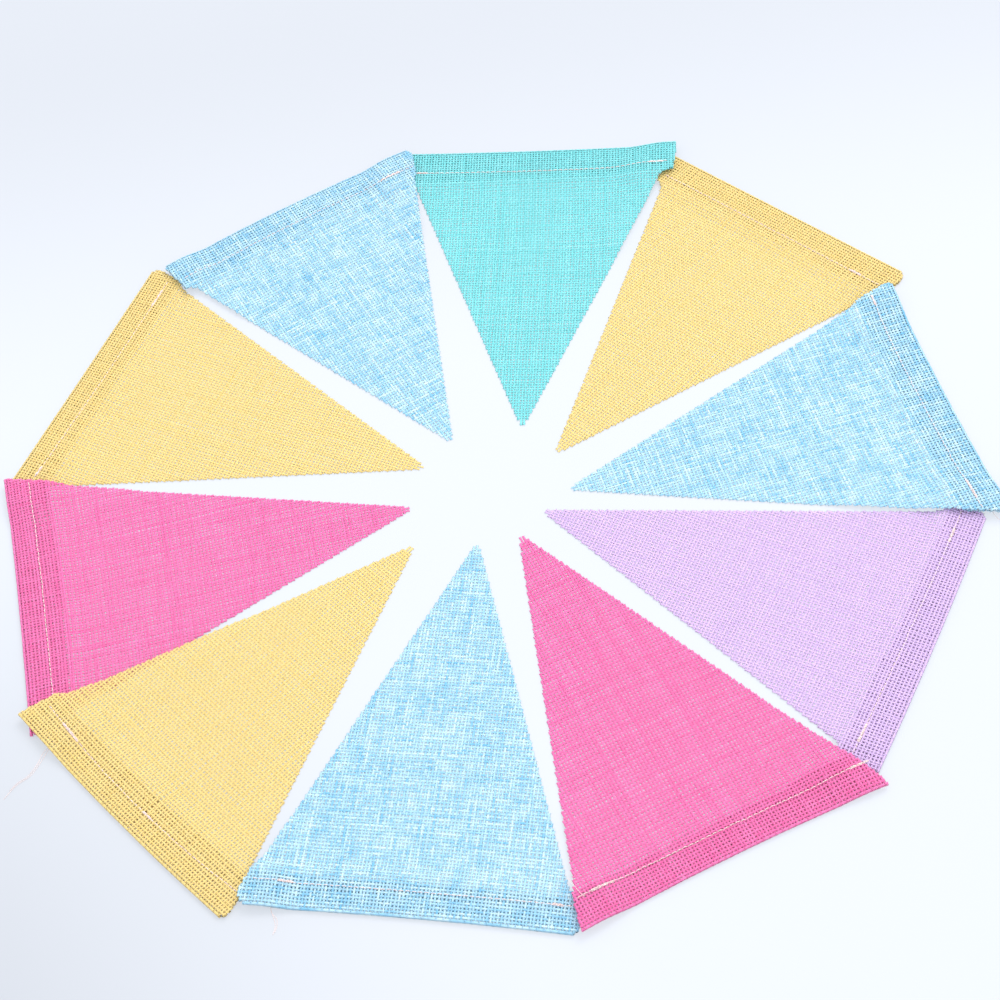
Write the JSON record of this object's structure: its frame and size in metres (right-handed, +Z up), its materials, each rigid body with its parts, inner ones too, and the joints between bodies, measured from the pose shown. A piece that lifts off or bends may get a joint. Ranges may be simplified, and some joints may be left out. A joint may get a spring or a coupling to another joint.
{
  "type": "fabric bunting",
  "caption": "Set of hemmed triangular cloth pennants laid flat in a ring, tips to the middle, with corners lying over their neighbours and a sewn sleeve along each wide side.",
  "frame": {"origin": "under the middle of the ring's box, on the surface that the cloth lies on", "axes": "+X to the right, +Y away from the viewer, +Z up out of the surface"},
  "size_m": [0.4752, 0.473, 0.0051],
  "materials": {
    "cloth_turquoise": "matt coarse plain weave, turquoise",
    "cloth_yellow": "matt coarse plain weave, warm yellow",
    "cloth_blue": "matt coarse plain weave, sky blue with pale slubs",
    "cloth_lilac": "matt coarse plain weave, lilac",
    "cloth_pink": "matt coarse plain weave, bright pink"
  },
  "bodies": {
    "root": {"pennant_01_turquoise": "cloth_turquoise", "pennant_02_yellow": "cloth_yellow", "pennant_03_blue": "cloth_blue", "pennant_04_lilac": "cloth_lilac", "pennant_05_pink": "cloth_pink", "pennant_06_blue": "cloth_blue", "pennant_07_yellow": "cloth_yellow", "pennant_08_pink": "cloth_pink", "pennant_09_yellow": "cloth_yellow", "pennant_10_blue": "cloth_blue"}
  },
  "joints": []
}
